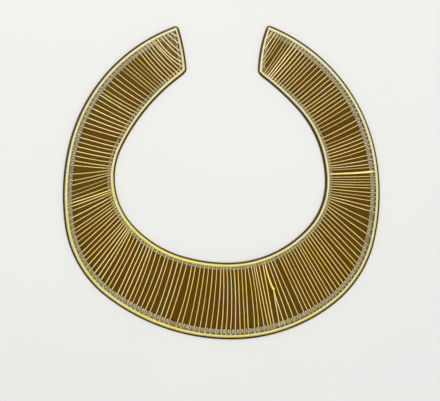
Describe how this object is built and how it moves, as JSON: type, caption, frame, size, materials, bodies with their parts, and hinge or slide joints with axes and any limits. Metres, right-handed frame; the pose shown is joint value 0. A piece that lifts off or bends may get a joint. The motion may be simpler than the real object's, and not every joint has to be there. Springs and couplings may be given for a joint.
{
  "type": "torc",
  "caption": "Flat open neck collar: a C-shaped back plate edged with round rim wires, with fine ribs fanned between them from terminal to terminal.",
  "frame": {"origin": "centre of the bounding box at its base; the flat back of the plate lies in the plane z = 0", "axes": "+Z out of the decorated face, +Y towards the gap between the terminals, +X to the right as the decorated face is seen"},
  "size_m": [0.1998, 0.1978, 0.0031],
  "materials": {
    "plate_bronze": "dark patinated bronze, lightly hammered",
    "border_silver": "dull tarnished silver",
    "rim_gold": "worn pale gold, satin",
    "rib_gold": "worn pale gold, satin, darker between the ribs"
  },
  "bodies": {
    "root": {"back_plate": "plate_bronze", "border_band": "border_silver", "outer_rim": "rim_gold", "inner_rim": "rim_gold", "left_end_bar": "rim_gold", "right_end_bar": "rim_gold", "left_ribs": "rib_gold", "right_ribs": "rib_gold", "cross_bar": "rim_gold", "forked_bar": "rim_gold"}
  },
  "joints": []
}
